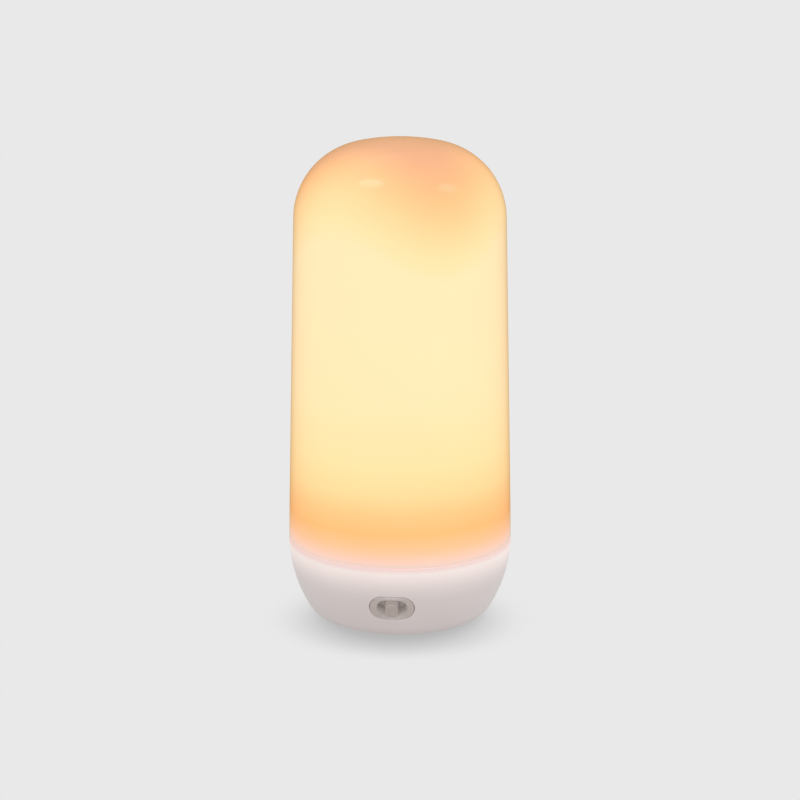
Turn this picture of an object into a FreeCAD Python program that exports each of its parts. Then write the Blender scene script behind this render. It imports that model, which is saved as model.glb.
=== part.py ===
import FreeCAD, Part
import math
import os

# A cordless table light: an opal diffuser on a round base, with a slide switch in front.
# Lengths are millimetres and angles are degrees. +Z is up and the switch faces -Y.

# Outer form
body_r = 32.5              # widest radius, where diffuser and base meet
seam_z = 24.0              # height of that joint above the table
total_h = 140.2            # height of the dome's top above the table
shoulder_r = 30.2          # radius that the dome springs from
shoulder_arc = 21.8        # arc that leads from the wall to the crown
crown_arc = 61.5           # flatter arc over the top
base_side_arc = 40.0       # arc of the base's side
base_corner_arc = 7.5      # arc of the base's lower edge
seam_round = 0.35          # rounding of both edges at the joint
lip_round = 0.3            # rounding of the windows' outer edges

# Shell walls and the joint between them
diffuser_wall = 2.0
base_wall = 2.2
rim_wall = 2.4             # base wall beside the spigot
spigot_h = 3.1             # the diffuser's spigot reaches this far into the base
spigot_t = 1.6
spigot_fit = 0.1
collar_h = 1.6             # thickened ring inside the diffuser above its spigot
lug_count = 4
lug_angle = 14.0           # each snap lug's length, as an angle
lug_proud = 0.5
lug_h = 1.2
lug_fit = 0.1
lug_drop = 0.7             # from the joint down to a lug

# Foot ring
foot_proud = 0.5           # the ring stands this far out of the base
foot_margin = 1.4          # from the ring out to the edge of the flat underside
foot_w = 4.6
foot_groove = 0.8
foot_fit = 0.1

# Screws: shank radius, head radius, head height, length under the head
deck_screw = (1.1, 2.1, 1.3, 7.0)
core_screw = (1.0, 1.9, 1.2, 5.0)
board_screw = (0.9, 1.8, 1.1, 4.2)
screw_fit = 0.02           # between a thread and its hole
screw_pass = 0.2           # round a shank where it only passes through
cross_w = 0.6              # cross recess in a head
cross_margin = 0.8         # from the recess to the head's edge
boss_wall = 1.5            # plastic round a screw

# Inner deck
deck_t = 1.8
deck_fit = 0.15
deck_gap = 0.1             # between the spigot's end and the deck
deck_screw_inset = 5.1     # from the base's rim in to the screws
deck_screw_angles = (45.0, 135.0, 225.0, 315.0)
deck_boss_h = 5.0          # bosses under the deck for the core's screws

# Light core
core_wall = 1.8
core_room = 1.85           # room round the cell for its leads
core_flange_w = 5.2
core_flange_t = 2.0
core_screw_angles = (90.0, 210.0, 330.0)
core_cap_room = 19.9       # from the cell's pad up to the core's top
shelf_t = 2.0              # floor in the core that carries the cell
cap_t = 1.6
cap_plug_wall = 1.4
cap_fit = 0.1
rib_t = 1.4
rib_angles = (45.0, 135.0, 225.0, 315.0)
rib_fit = 0.1

# Rechargeable cell
cell_r = 9.2
cell_h = 65.0
sleeve_t = 0.15
tab_t = 0.15
tab_w = 4.0
pad_t = 4.0

# Light board round the core
led_board_t = 0.3
led_board_fit = 0.05
led_board_start = 17.0     # from the core flange up to the board
led_board_end = 1.5        # from the board up to the core's top
led_ledge_t = 1.2          # ring on the core that carries the board
led_ledge_w = 0.8
led_w = 2.8
led_h = 3.5
led_t = 0.8
led_columns = 10
led_pitch = 9.0
tail_w = 6.0               # strip that runs from the light board to the main board
tail_slot = 0.35           # room round that strip

# Main board
board_post_h = 4.7         # from the base's floor up to the board
board_t = 1.6
board_gap = 1.25           # from the board to the base's wall
board_setback = 0.3        # the board is cut straight this far behind the switch's front
board_notch = 0.6          # room round the columns that pass the board
board_screw_inset = 4.7
board_screw_angles = (22.0, 158.0, 205.0, 335.0)

# Charging socket
usb_w = 8.94
usb_h = 3.26
usb_wall = 0.3
usb_len = 7.35
usb_back_t = 1.4
tongue_w = 6.7
tongue_t = 0.7
tongue_inset = 0.8
port_fit = 0.25
port_w = 13.0              # recess in the wall for the plug's grip
port_h = 7.4
port_rim = 0.35            # depth of that recess at its lower edge, where it is least
port_floor = 0.2           # the recess's floor lies this far outside the socket's mouth
port_pad_wall = 1.6
port_pad_edge = 1.8

# Slide switch
case_w = 12.8
case_d = 5.2
case_h = 4.4
case_gap = 2.1             # from the knob's plate to the case
case_skin = 0.5
slide_travel = 2.0         # to each side of the middle
slide_fit = 0.15
lever_w = 2.0
lever_h = 1.8
lever_gap = 0.1            # from the lever's tip to the knob's plate
slider_w = 4.6
slider_d = 2.1
slider_h = 2.7
pin_r = 0.4
pin_pitch = 3.0
pin_count = 4
pin_len = 2.6
pin_fit = 0.05

# Switch insert and knob
bezel_side = 2.0           # from the slot's end to the insert's end
bezel_edge = 1.2           # from the slot's long side to the insert's edge
bezel_fit = 0.1
bezel_inset = 0.12         # the insert lies this far below the base's surface
bezel_depth = 3.4          # from the surface in to the seat of its flange
flange_t = 1.0
flange_edge = 1.4
knob_w = 3.5
knob_h = 4.4
knob_corner = 1.2
knob_edge = 0.45
knob_proud = 1.1
knob_end_room = 0.55       # from the knob to the slot's end at full travel
knob_side_room = 0.5
plate_end_lap = 0.1        # the plate behind the slot still covers it by this at full travel
plate_side_lap = 0.5
plate_t = 0.8
plate_fit = 0.12
tine_t = 0.9
tine_fit = 0.05
tine_h = 2.5
seat_edge = 0.8            # seat round the insert's flange

# Parts on the main board: width, depth, height, then place of the middle
chip_size = (5.0, 4.0, 1.5)
chip_at = (0.0, -3.0)
charger_size = (3.0, 3.0, 0.9)
charger_at = (6.5, 14.5)
coil_size = (5.0, 5.0, 3.0)
coil_at = (-6.5, 13.0)
capacitor_size = (2.0, 1.25, 1.1)
capacitor_gap = 2.2
capacitor_rows = ((-2.2, 8.0), (-5.0, -9.0))
capacitor_counts = (3, 4)
battery_plug_size = (4.6, 7.4, 5.6)
led_plug_size = (3.4, 8.8, 4.2)
led_plug_grip = 3.0        # depth of the strip in its plug
lead_r = 0.6
lead_gap = 1.3             # each lead's distance from the row's middle
black_lead_inset = 1.6     # from the cell's side in to where the lower tab's lead starts
lead_bend = 5.0

# Heights that follow from the sizes above
base_z = foot_proud
floor_z = base_z + base_wall
board_z = floor_z + board_post_h
board_top = board_z + board_t
spigot_z = seam_z - spigot_h
deck_top = spigot_z - deck_gap
deck_z = deck_top - deck_t
flange_top = deck_top + core_flange_t
shelf_z = flange_top + shelf_t
cell_z = shelf_z + tab_t
cell_top = cell_z + cell_h
pad_z = cell_top + tab_t
pad_top = pad_z + pad_t
core_top = pad_top + core_cap_room
led_board_z = flange_top + led_board_start
led_board_top = core_top - led_board_end
switch_z = board_top + case_h / 2
usb_z = board_top + usb_h / 2

# Radii that follow
rim_r = body_r - rim_wall
spigot_r = rim_r - spigot_fit
deck_screw_ring = rim_r - deck_screw_inset
sleeve_r = cell_r + sleeve_t
core_bore = sleeve_r + core_room
core_r = core_bore + core_wall
core_flange_r = core_r + core_flange_w
core_screw_ring = core_r + core_flange_w / 2
led_board_r = core_r + led_board_fit
lead_x = sleeve_r + core_room / 2
black_lead_x = cell_r - black_lead_inset

# Sizes of the switch's insert and of the plate behind it
slot_w = knob_w + 2 * (slide_travel + knob_end_room)
slot_h = knob_h + 2 * knob_side_room
bezel_w = slot_w + 2 * bezel_side
bezel_h = slot_h + 2 * bezel_edge
plate_w = slot_w + 2 * (slide_travel + plate_end_lap)
plate_h = slot_h + 2 * plate_side_lap
plate_y = bezel_depth + flange_t + plate_fit


def vec(x, y, z):
    return FreeCAD.Vector(x, y, z)


def polar(radius, angle):
    return radius * math.cos(math.radians(angle)), radius * math.sin(math.radians(angle))


def on_circle(centre, radius, angle):
    """Point of a section, at an angle above the outward direction."""
    x, z = polar(radius, angle)
    return centre[0] + x, centre[1] + z


def turned(start, *steps):
    """Solid of revolution from a closed section of (radius, height) points.

    A step is the next corner, or the middle and the end of an arc.
    """
    edges = []
    here = start
    for step in steps + (start,):
        if isinstance(step[0], tuple):
            points = [vec(r, 0, z) for r, z in (here,) + step]
            edges.append(Part.Arc(*points).toShape())
            here = step[1]
        elif math.dist(here, step) > 1e-6:
            edges.append(Part.LineSegment(vec(here[0], 0, here[1]), vec(step[0], 0, step[1])).toShape())
            here = step
    return Part.Face(Part.Wire(edges)).revolve(vec(0, 0, 0), vec(0, 0, 1), 360)


def block(x0, x1, y0, y1, z0, z1):
    return Part.makeBox(x1 - x0, y1 - y0, z1 - z0, vec(x0, y0, z0))


def post(x, y, z0, z1, radius):
    return Part.makeCylinder(radius, z1 - z0, vec(x, y, z0))


def tube(outer, inner, z0, z1):
    return post(0, 0, z0, z1, outer).cut(post(0, 0, z0, z1, inner))


def standing(size, at, z):
    """Box of a given width, depth and height that stands on height z."""
    w, d, h = size
    return block(at[0] - w / 2, at[0] + w / 2, at[1] - d / 2, at[1] + d / 2, z, z + h)


def rounded(width, height, corner, y0, y1, z=0.0):
    """Prism along Y with a rounded rectangle for its section, centred on the YZ plane."""
    x, h = width / 2 - corner, height / 2 - corner
    centres = ((x, h, 0), (-x, h, 90), (-x, -h, 180), (x, -h, 270))
    edges = []
    ends = []
    for cx, cz, first in centres:
        arc = [on_circle((cx, cz), corner, first + step) for step in (0, 45, 90)]
        arc = [vec(px, y0, z + pz) for px, pz in arc]
        if ends and ends[-1].distanceToPoint(arc[0]) > 1e-6:
            edges.append(Part.LineSegment(ends[-1], arc[0]).toShape())
        edges.append(Part.Arc(*arc).toShape())
        ends += [arc[0], arc[2]]
    if ends[-1].distanceToPoint(ends[0]) > 1e-6:
        edges.append(Part.LineSegment(ends[-1], ends[0]).toShape())
    return Part.Face(Part.Wire(edges)).extrude(vec(0, y1 - y0, 0))


def stadium(width, height, y0, y1, z=0.0):
    return rounded(width, height, height / 2, y0, y1, z)


def screw(size, x, y, z):
    """Pan-head screw that points down, its head seated on height z."""
    shank_r, head_r, head_h, length = size
    body = post(x, y, z - length, z, shank_r).fuse(post(x, y, z, z + head_h, head_r))
    reach = head_r - cross_margin
    top = z + head_h
    body = body.cut(block(x - reach, x + reach, y - cross_w / 2, y + cross_w / 2, top - cross_w, top))
    return body.cut(block(x - cross_w / 2, x + cross_w / 2, y - reach, y + reach, top - cross_w, top))


def screw_hole(size, x, y, z, fit):
    """The room that a screw's shank takes below height z."""
    return post(x, y, z - size[3] - fit, z, size[0] + fit)


def joined(first, others):
    return first.fuse(others).removeSplitter()


# Section of the base: the side arc and the corner arc, both tangent, moved in by an offset
corner_drop = seam_z - base_z - base_corner_arc
corner_x = body_r - base_side_arc + math.sqrt((base_side_arc - base_corner_arc) ** 2 - corner_drop ** 2)
side_centre = (body_r - base_side_arc, seam_z)
corner_centre = (corner_x, base_z + base_corner_arc)
meet_angle = -math.degrees(math.asin(corner_drop / (base_side_arc - base_corner_arc)))


def side_angle(z, offset=0.0):
    return -math.degrees(math.asin((seam_z - z) / (base_side_arc - offset)))


def base_wall_r(z, offset=0.0):
    """Radius of the base's side at a height."""
    return on_circle(side_centre, base_side_arc - offset, side_angle(z, offset))[0]


def base_form(offset, top_z):
    """The base's outer form moved in by an offset, closed at a height below the joint."""
    side, corner = base_side_arc - offset, base_corner_arc - offset
    end = side_angle(top_z, offset)
    low = (on_circle(corner_centre, corner, (meet_angle - 90) / 2), on_circle(corner_centre, corner, meet_angle))
    high = (on_circle(side_centre, side, (meet_angle + end) / 2), on_circle(side_centre, side, end))
    return turned((0, base_z + offset), (corner_x, base_z + offset), low, high, (0, top_z))


def lips(shell, half_w, side):
    """Outer edges of a window in the base's side, in front (side -1) or behind (side 1)."""
    found = []
    for edge in shell.Edges:
        points = edge.discretize(5)
        near = all(side * p.y > 0 and abs(p.x) < half_w + lip_round and p.z < seam_z - seam_round for p in points)
        if near and all(abs(math.hypot(p.x, p.y) - base_wall_r(p.z)) < 1e-3 for p in points):
            found.append(edge)
    return found


def rounded_rim(form_r, z, direction):
    """Rounded outer edge at the joint: its middle and its end, from the wall to the flat face."""
    centre = (form_r - seam_round, z)
    return on_circle(centre, seam_round, 45 * direction), on_circle(centre, seam_round, 90 * direction)


# The switch's insert sits square to the wall: its place and lean come from the section
switch_lean = -side_angle(switch_z)
switch_place = FreeCAD.Placement(vec(0, -base_wall_r(switch_z), switch_z),
                                 FreeCAD.Rotation(vec(1, 0, 0), switch_lean))
plate_rear = switch_place.multVec(vec(0, plate_y + plate_t, -plate_h / 2))
case_front = -plate_rear.y - case_gap

# Places in the base that follow from its wall
foot_r = corner_x - foot_margin
board_r = base_wall_r(board_z, base_wall) - board_gap
board_front = case_front - board_setback
board_screw_ring = board_r - board_screw_inset
port_y = math.sqrt(base_wall_r(usb_z - port_h / 2) ** 2 - ((port_w - port_h) / 2) ** 2) - port_rim
usb_mouth = port_y - port_floor


def in_wall(shape):
    """Moves a shape drawn about the origin, facing -Y, to the switch's place in the wall."""
    placed = shape.copy()
    placed.Placement = switch_place.multiply(placed.Placement)
    return placed


def screw_places(ring, angles):
    return [polar(ring, angle) for angle in angles]


def lug_ring(proud, z0, z1, spare):
    """Snap lugs round the spigot, or the pockets that take them when given some spare room."""
    lugs = []
    for index in range(lug_count):
        middle = 360.0 / lug_count * (index + 0.5)
        reach = lug_angle / 2 + math.degrees(spare / spigot_r)
        lug = Part.makeCylinder(spigot_r + proud, z1 - z0, vec(0, 0, z0), vec(0, 0, 1), 2 * reach)
        lug = lug.cut(post(0, 0, z0, z1, spigot_r - spigot_t / 2))
        lug.rotate(vec(0, 0, 0), vec(0, 0, 1), middle - reach)
        lugs.append(lug)
    return lugs


# Shells


def diffuser():
    shoulder_x = shoulder_r - shoulder_arc
    crown_z = total_h - crown_arc
    shoulder_z = crown_z + math.sqrt((crown_arc - shoulder_arc) ** 2 - shoulder_x ** 2)
    shoulder = (shoulder_x, shoulder_z)
    dx, dz = body_r - shoulder_x, seam_z - shoulder_z
    lean = math.degrees(math.atan2(dz, dx) + math.acos(shoulder_arc / math.hypot(dx, dz)))
    change = math.degrees(math.atan2(shoulder_z - crown_z, shoulder_x))
    slope = math.tan(math.radians(lean))

    def knuckle(offset, first, last):
        radius = shoulder_arc - offset
        return on_circle(shoulder, radius, (first + last) / 2), on_circle(shoulder, radius, last)

    def crown(offset, first, last):
        radius = crown_arc - offset
        return on_circle((0, crown_z), radius, (first + last) / 2), on_circle((0, crown_z), radius, last)

    edge_z = seam_z + seam_round
    edge_r = body_r - slope * seam_round
    corner = rounded_rim(edge_r, edge_z, -1)
    inside_z = seam_z + collar_h + spigot_t
    inside_r = body_r - diffuser_wall / math.cos(math.radians(lean)) - slope * (inside_z - seam_z)
    inner_r = spigot_r - spigot_t
    shell = turned(
        corner[1],
        (corner[0], (edge_r, edge_z)),
        on_circle(shoulder, shoulder_arc, lean),
        knuckle(0, lean, change),
        crown(0, change, 90),
        (0, total_h - diffuser_wall),
        crown(diffuser_wall, 90, change),
        knuckle(diffuser_wall, change, lean),
        (inside_r, inside_z),
        (inner_r, seam_z + collar_h),
        (inner_r, spigot_z),
        (spigot_r, spigot_z),
        (spigot_r, seam_z),
    )
    lug_top = seam_z - lug_drop
    return joined(shell, lug_ring(lug_proud, lug_top - lug_h, lug_top, 0))


def base_shell():
    rim_z = seam_z - seam_round
    form = base_form(0, rim_z)
    edge_r = base_wall_r(rim_z)
    corner = rounded_rim(edge_r, rim_z, 1)
    form = form.fuse(turned((0, rim_z), (edge_r, rim_z), corner, (0, seam_z))).removeSplitter()
    windows = [
        in_wall(stadium(bezel_w + 2 * bezel_fit, bezel_h + 2 * bezel_fit, -base_wall, bezel_depth)),
        stadium(port_w, port_h, port_y, body_r, usb_z),
    ]
    form = form.cut(windows)
    form = form.makeFillet(lip_round, lips(form, bezel_w / 2 + bezel_fit, -1) + lips(form, port_w / 2, 1))
    shell = form.cut(base_form(base_wall, deck_z).fuse(post(0, 0, deck_z, seam_z, rim_r)))

    columns = []
    for x, y in screw_places(deck_screw_ring, deck_screw_angles):
        columns.append(post(x, y, floor_z, deck_z, deck_screw[0] + boss_wall))
    for x, y in screw_places(board_screw_ring, board_screw_angles):
        columns.append(post(x, y, base_z, board_z, board_screw[0] + boss_wall))
    seat_w = bezel_w + 2 * (flange_edge + seat_edge)
    seat_h = bezel_h + 2 * (flange_edge + seat_edge)
    columns.append(in_wall(rounded(seat_w, seat_h, flange_edge, 0, bezel_depth)))
    pad_w, pad_h = port_w + 2 * port_pad_edge, port_h + 2 * port_pad_edge
    columns.append(stadium(pad_w, pad_h, port_y - port_pad_wall, body_r, usb_z))
    inner = [column.common(base_form(base_wall / 2, deck_z)).cut(windows) for column in columns]
    shell = joined(shell, inner)

    cuts = [screw_hole(deck_screw, x, y, deck_top, screw_fit)
            for x, y in screw_places(deck_screw_ring, deck_screw_angles)]
    cuts += [screw_hole(board_screw, x, y, board_top, screw_fit)
             for x, y in screw_places(board_screw_ring, board_screw_angles)]
    cuts.append(stadium(usb_w + 2 * port_fit, usb_h + 2 * port_fit, usb_mouth - usb_len, body_r, usb_z))
    cuts.append(tube(foot_r + foot_fit, foot_r - foot_w - foot_fit, base_z, base_z + foot_groove))
    pocket_top = seam_z - lug_drop + lug_fit
    pocket_z = seam_z - lug_drop - lug_h - lug_fit
    cuts += lug_ring(lug_proud + lug_fit, pocket_z, pocket_top, lug_fit)
    return shell.cut(cuts).removeSplitter()


def foot_ring():
    return tube(foot_r, foot_r - foot_w, 0, base_z + foot_groove)


# Deck and light core


def tail_opening(z0, z1):
    """Room for the light board's strip where it passes the core's flange and the deck."""
    outer = led_board_r + led_board_t + tail_slot
    half = tail_w / 2 + tail_slot
    return block(-outer, -core_r, -half, half, z0, z1)


def inner_deck():
    disc = tube(rim_r - deck_fit, core_bore, deck_z, deck_top)
    bosses = [post(x, y, deck_z - deck_boss_h, deck_top, core_screw[0] + boss_wall)
              for x, y in screw_places(core_screw_ring, core_screw_angles)]
    bosses.append(tube(core_flange_r + boss_wall, core_flange_r + deck_fit, deck_top, deck_top + deck_t / 2))
    deck = joined(disc, bosses)
    cuts = [post(x, y, deck_z, deck_top, deck_screw[0] + screw_pass)
            for x, y in screw_places(deck_screw_ring, deck_screw_angles)]
    cuts += [screw_hole(core_screw, x, y, flange_top, screw_fit)
             for x, y in screw_places(core_screw_ring, core_screw_angles)]
    cuts.append(tail_opening(deck_z, deck_top))
    return deck.cut(cuts)


def deck_screws():
    places = screw_places(deck_screw_ring, deck_screw_angles)
    return Part.makeCompound([screw(deck_screw, x, y, deck_top) for x, y in places])


def light_core():
    ledge_r = led_board_r + led_ledge_w
    ledge_z = led_board_z - led_ledge_t
    body = post(0, 0, deck_top, core_top, core_r)
    body = body.fuse([post(0, 0, deck_top, flange_top, core_flange_r), post(0, 0, ledge_z, led_board_z, ledge_r)])
    body = body.cut([post(0, 0, shelf_z, core_top, core_bore), post(0, 0, deck_top, flange_top, core_bore)])
    ribs = []
    for angle in rib_angles:
        rib = block(sleeve_r + rib_fit, core_r - core_wall / 2, -rib_t / 2, rib_t / 2, flange_top, cell_top)
        rib.rotate(vec(0, 0, 0), vec(0, 0, 1), angle)
        ribs.append(rib)
    body = joined(body, ribs)
    cuts = [post(x, y, deck_top, flange_top, core_screw[0] + screw_pass)
            for x, y in screw_places(core_screw_ring, core_screw_angles)]
    cuts.append(tail_opening(deck_top, flange_top))
    cuts.append(block(-ledge_r, -core_r, -tail_w / 2 - tail_slot, tail_w / 2 + tail_slot, ledge_z, led_board_z))
    wire_half = lead_gap + 2 * lead_r
    cuts.append(block(black_lead_x - 2 * lead_r, core_bore, -wire_half, wire_half, flange_top, shelf_z))
    return body.cut(cuts)


def core_screws():
    places = screw_places(core_screw_ring, core_screw_angles)
    return Part.makeCompound([screw(core_screw, x, y, flange_top) for x, y in places])


def core_cap():
    plug_r = core_bore - cap_fit
    cup = post(0, 0, pad_top, core_top, plug_r).fuse(post(0, 0, core_top, core_top + cap_t, core_r))
    return cup.cut(post(0, 0, pad_top + cap_plug_wall, core_top + cap_t, plug_r - cap_plug_wall)).removeSplitter()


def led_board():
    outer = led_board_r + led_board_t
    sheet = tube(outer, led_board_r, led_board_z, led_board_top)
    strip_z = board_top + led_plug_size[2] - led_plug_grip
    strip = block(-outer, -led_board_r, -tail_w / 2, tail_w / 2, strip_z, led_board_z + led_ledge_t)
    return joined(sheet, [strip])


def leds():
    back = led_board_r + led_board_t
    rows = int((led_board_top - led_board_z - led_h) / led_pitch) + 1
    first = (led_board_z + led_board_top - (rows - 1) * led_pitch) / 2
    lamps = []
    for row in range(rows):
        for column in range(led_columns):
            z = first + row * led_pitch
            lamp = block(back, back + led_t, -led_w / 2, led_w / 2, z - led_h / 2, z + led_h / 2)
            lamp.rotate(vec(0, 0, 0), vec(0, 0, 1), 360.0 / led_columns * (column + row % 2 / 2 + 0.25))
            lamps.append(lamp)
    return Part.makeCompound(lamps)


# Cell


def battery_cell():
    return post(0, 0, cell_z, cell_top, cell_r)


def battery_sleeve():
    return tube(sleeve_r, cell_r, cell_z, cell_top)


def battery_tabs():
    reach = cell_r / 3
    lower = block(-reach, black_lead_x + lead_r, -tab_w / 2, tab_w / 2, shelf_z, cell_z)
    upper = block(-reach, lead_x + lead_r, -tab_w / 2, tab_w / 2, cell_top, pad_z)
    return Part.makeCompound([lower, upper])


def battery_pad():
    return post(0, 0, pad_z, pad_top, sleeve_r)


def lead(points, bend):
    """Round wire along straight runs joined by tangent arcs."""
    edges = []
    here = points[0]
    for before, corner, after in zip(points, points[1:], points[2:]):
        into = (corner - before).normalize()
        out = (after - corner).normalize()
        half = into.getAngle(out) / 2
        trim = bend * math.tan(half)
        start, end = corner - into * trim, corner + out * trim
        middle = corner + (out - into).normalize() * (bend / math.cos(half) - bend)
        edges += [Part.LineSegment(here, start).toShape(), Part.Arc(start, middle, end).toShape()]
        here = end
    edges.append(Part.LineSegment(here, points[-1]).toShape())
    along = points[1] - points[0]
    ring = Part.Wire([Part.makeCircle(lead_r, points[0], along)])
    return Part.Wire(edges).makePipeShell([ring], True, False)


def battery_leads():
    plug_top = board_top + battery_plug_size[2]
    red = lead([vec(lead_x, lead_gap, cell_top), vec(lead_x, lead_gap, plug_top)], lead_bend)
    room = (shelf_z - plug_top) / 4
    shift = [
        vec(black_lead_x, -lead_gap, shelf_z),
        vec(black_lead_x, -lead_gap, shelf_z - room),
        vec(lead_x, -lead_gap, plug_top + room),
        vec(lead_x, -lead_gap, plug_top),
    ]
    return Part.makeCompound([red, lead(shift, lead_bend)])


# Main board and what stands on it


def main_board():
    board = post(0, 0, board_z, board_top, board_r)
    cuts = [block(-board_r, board_r, -board_r, -board_front, board_z, board_top)]
    for x, y in screw_places(deck_screw_ring, deck_screw_angles):
        cuts.append(post(x, y, board_z, board_top, deck_screw[0] + boss_wall + board_notch))
    for x, y in screw_places(board_screw_ring, board_screw_angles):
        cuts.append(post(x, y, board_z, board_top, board_screw[0] + screw_pass))
    for x, y in pin_places():
        cuts.append(post(x, y, board_z, board_top, pin_r + pin_fit))
    return board.cut(cuts)


def board_screws():
    places = screw_places(board_screw_ring, board_screw_angles)
    return Part.makeCompound([screw(board_screw, x, y, board_top) for x, y in places])


def usb_shell():
    y0 = usb_mouth - usb_len
    can = stadium(usb_w, usb_h, y0, usb_mouth, usb_z)
    return can.cut(stadium(usb_w - 2 * usb_wall, usb_h - 2 * usb_wall, y0, usb_mouth, usb_z))


def usb_tongue():
    y0 = usb_mouth - usb_len
    back = stadium(usb_w - 2 * usb_wall, usb_h - 2 * usb_wall, y0, y0 + usb_back_t, usb_z)
    blade = block(-tongue_w / 2, tongue_w / 2, y0, usb_mouth - tongue_inset, usb_z - tongue_t / 2,
                  usb_z + tongue_t / 2)
    return joined(back, [blade])


def control_chip():
    return standing(chip_size, chip_at, board_top)


def charge_chip():
    return standing(charger_size, charger_at, board_top)


def power_coil():
    body = standing(coil_size, coil_at, board_top)
    upright = [edge for edge in body.Edges if edge.BoundBox.ZLength > coil_size[2] / 2]
    return body.makeChamfer(coil_size[0] / 8, upright)


def board_capacitors():
    step = capacitor_size[0] + capacitor_gap
    rows = zip(capacitor_rows, capacitor_counts)
    places = [(x + step * index, y) for (x, y), count in rows for index in range(count)]
    return Part.makeCompound([standing(capacitor_size, place, board_top) for place in places])


def battery_connector():
    return standing(battery_plug_size, (lead_x, 0), board_top)


def led_connector():
    body = standing(led_plug_size, (-led_board_r - led_board_t / 2, 0), board_top)
    half = tail_w / 2 + led_board_fit
    top = board_top + led_plug_size[2]
    slot_out = led_board_r + led_board_t + led_board_fit
    return body.cut(block(-slot_out, -core_r, -half, half, top - led_plug_grip, top))


# Slide switch, its insert and its knob


def pin_places():
    first = -pin_pitch * (pin_count - 1) / 2
    return [(first + pin_pitch * index, -case_front + case_d / 2) for index in range(pin_count)]


def switch_case():
    y0 = -case_front
    case = block(-case_w / 2, case_w / 2, y0, y0 + case_d, board_top, board_top + case_h)
    slot_half = lever_w / 2 + slide_travel + slide_fit
    slot_h_half = lever_h / 2 + slide_fit
    room_half = slider_w / 2 + slide_travel + slide_fit
    room_h_half = slider_h / 2 + slide_fit
    room_y = y0 + case_skin
    room = block(-room_half, room_half, room_y, room_y + slider_d + 2 * slide_fit,
                 switch_z - room_h_half, switch_z + room_h_half)
    slot = block(-slot_half, slot_half, y0, room_y, switch_z - slot_h_half, switch_z + slot_h_half)
    return case.cut([room, slot])


def switch_lever():
    slider_y = -case_front + case_skin + slide_fit
    slider = block(-slider_w / 2, slider_w / 2, slider_y, slider_y + slider_d,
                   switch_z - slider_h / 2, switch_z + slider_h / 2)
    stub = block(-lever_w / 2, lever_w / 2, plate_rear.y + lever_gap, slider_y,
                 switch_z - lever_h / 2, switch_z + lever_h / 2)
    return joined(slider, [stub])


def switch_pins():
    return Part.makeCompound([post(x, y, board_top - pin_len, board_top, pin_r) for x, y in pin_places()])


def switch_bezel():
    seat = bezel_depth + flange_t
    plug = in_wall(stadium(bezel_w, bezel_h, -base_wall, bezel_depth))
    plug = plug.common(base_form(bezel_inset, deck_z))
    flange = in_wall(stadium(bezel_w + 2 * flange_edge, bezel_h + 2 * flange_edge, bezel_depth, seat))
    slot = in_wall(stadium(slot_w, slot_h, -base_wall, seat))
    return joined(plug, [flange]).cut(slot)


def switch_knob():
    cap = rounded(knob_w, knob_h, knob_corner, -knob_proud, plate_y)
    cap = cap.makeFillet(knob_edge, [edge for edge in cap.Edges if abs(edge.BoundBox.YMax + knob_proud) < 1e-3])
    plate = block(-plate_w / 2, plate_w / 2, plate_y, plate_y + plate_t, -plate_h / 2, plate_h / 2)
    knob = in_wall(joined(cap, [plate]))
    plate_out = knob.BoundBox.YMin
    tines = []
    behind = in_wall(block(-plate_w, plate_w, plate_y + plate_t / 2, case_front, -case_front, case_front))
    for side in (-1, 1):
        inner = side * (lever_w / 2 + tine_fit)
        outer = side * (lever_w / 2 + tine_fit + tine_t)
        tine = block(min(inner, outer), max(inner, outer), plate_out, -case_front - slide_fit,
                     switch_z - tine_h / 2, switch_z + tine_h / 2)
        tines.append(tine.common(behind))
    return joined(knob, tines)


nodes = (
    diffuser, base_shell, foot_ring, inner_deck, deck_screws, light_core, core_screws, core_cap, led_board,
    leds, battery_cell, battery_sleeve, battery_tabs, battery_pad, battery_leads, main_board, board_screws,
    usb_shell, usb_tongue, control_chip, charge_chip, power_coil, board_capacitors, battery_connector,
    led_connector, switch_case, switch_lever, switch_pins, switch_bezel, switch_knob,
)

os.makedirs("parts", exist_ok=True)
for make in nodes:
    shape = make()
    shape.exportStep(os.path.join("parts", make.__name__ + ".step"))
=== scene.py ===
import math

import bmesh
import bpy
import numpy as np
from bpy.props import FloatProperty, FloatVectorProperty, IntProperty, PointerProperty
from mathutils import Matrix, Vector


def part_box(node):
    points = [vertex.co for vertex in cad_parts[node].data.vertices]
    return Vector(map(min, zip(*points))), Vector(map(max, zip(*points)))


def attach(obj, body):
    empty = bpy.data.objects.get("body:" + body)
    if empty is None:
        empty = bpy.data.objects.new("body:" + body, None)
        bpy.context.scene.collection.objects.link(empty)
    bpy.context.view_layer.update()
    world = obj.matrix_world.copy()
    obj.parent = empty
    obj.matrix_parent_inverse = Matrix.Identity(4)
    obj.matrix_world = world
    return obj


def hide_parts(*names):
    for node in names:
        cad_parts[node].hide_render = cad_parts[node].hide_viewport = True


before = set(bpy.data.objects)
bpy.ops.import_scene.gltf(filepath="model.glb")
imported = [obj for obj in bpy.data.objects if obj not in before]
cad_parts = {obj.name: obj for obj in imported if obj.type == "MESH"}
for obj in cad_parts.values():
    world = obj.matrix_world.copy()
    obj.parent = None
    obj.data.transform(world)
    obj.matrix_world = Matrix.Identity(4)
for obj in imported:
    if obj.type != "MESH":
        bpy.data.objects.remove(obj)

# Dresses the packed model of a cordless table light. Lengths are metres unless a name ends in _mm.
# +Z is up and the switch faces -Y, as in the CAD frame.

bl_info = {
    "name": "Portable bulb light",
    "version": (1, 0, 0),
    "blender": (4, 5, 0),
    "location": "View3D > Sidebar > Bulb light",
    "description": "Builds the looks of a cordless opal table light round its CAD frame",
    "category": "Object",
}

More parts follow.
